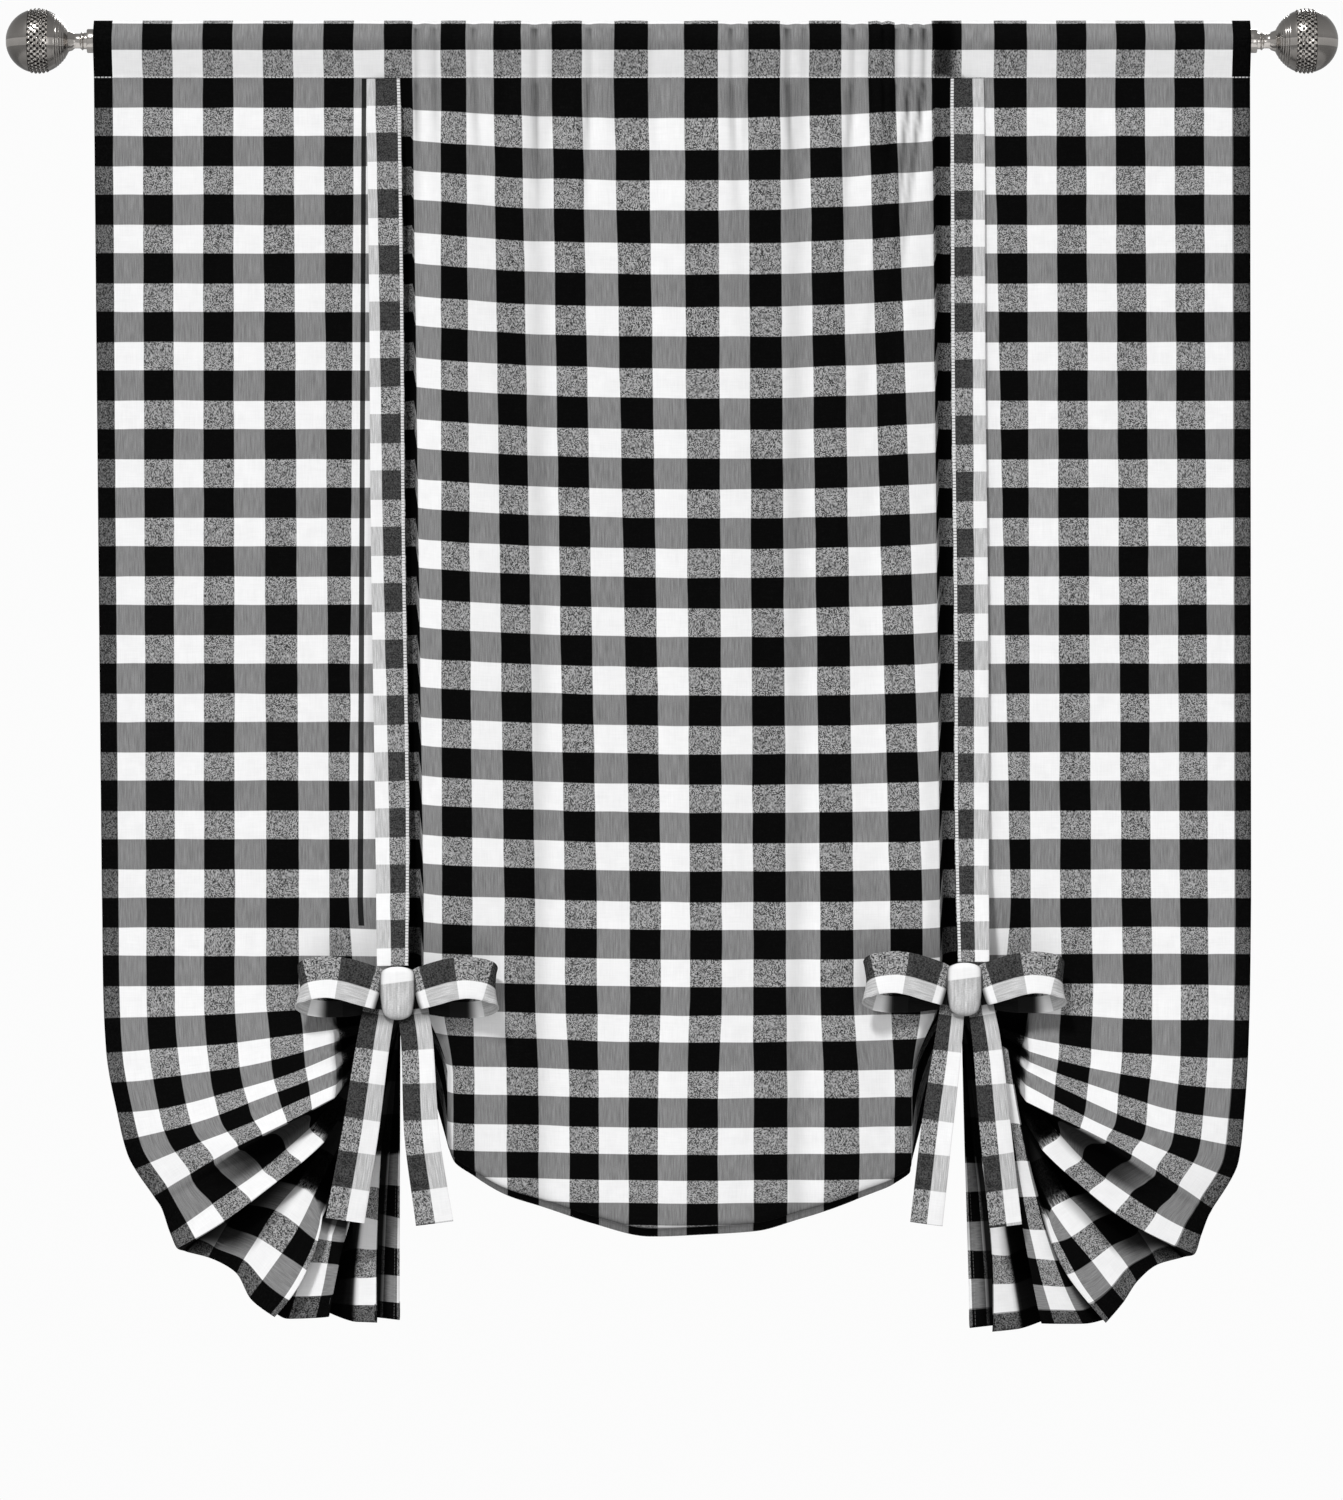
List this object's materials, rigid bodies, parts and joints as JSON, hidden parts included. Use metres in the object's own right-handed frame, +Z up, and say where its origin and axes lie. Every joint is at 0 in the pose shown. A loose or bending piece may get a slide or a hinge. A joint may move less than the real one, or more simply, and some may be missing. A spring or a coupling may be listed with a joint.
{
  "type": "tie-up shade on curtain rod",
  "caption": "Checked cotton tie-up shade: a flat panel on a rod pocket, lifted by bowed fabric ties into a middle swag and side fans, on a metal rod with ball ends.",
  "frame": {"origin": "on the rod's axis, at the middle of its length", "axes": "+X along the rod to the right as seen from the room, +Y from the room to the wall, +Z up; the shade faces -Y"},
  "size_m": [1.2296, 0.0763, 1.2205],
  "materials": {
    "cloth": "woven cotton, matte",
    "tie_cloth": "woven cotton, matte",
    "metal": "brushed nickel"
  },
  "bodies": {
    "root": {"shade_cloth": "cloth", "front_tie_left": "tie_cloth", "front_tie_right": "tie_cloth", "back_tie_left": "tie_cloth", "back_tie_right": "tie_cloth", "knot_left": "tie_cloth", "knot_right": "tie_cloth", "loop_left_outer": "tie_cloth", "loop_left_inner": "tie_cloth", "loop_right_outer": "tie_cloth", "loop_right_inner": "tie_cloth", "tail_left_outer": "tie_cloth", "tail_left_inner": "tie_cloth", "tail_right_outer": "tie_cloth", "tail_right_inner": "tie_cloth", "rod": "metal", "finial_left": "metal", "finial_right": "metal"}
  },
  "joints": []
}
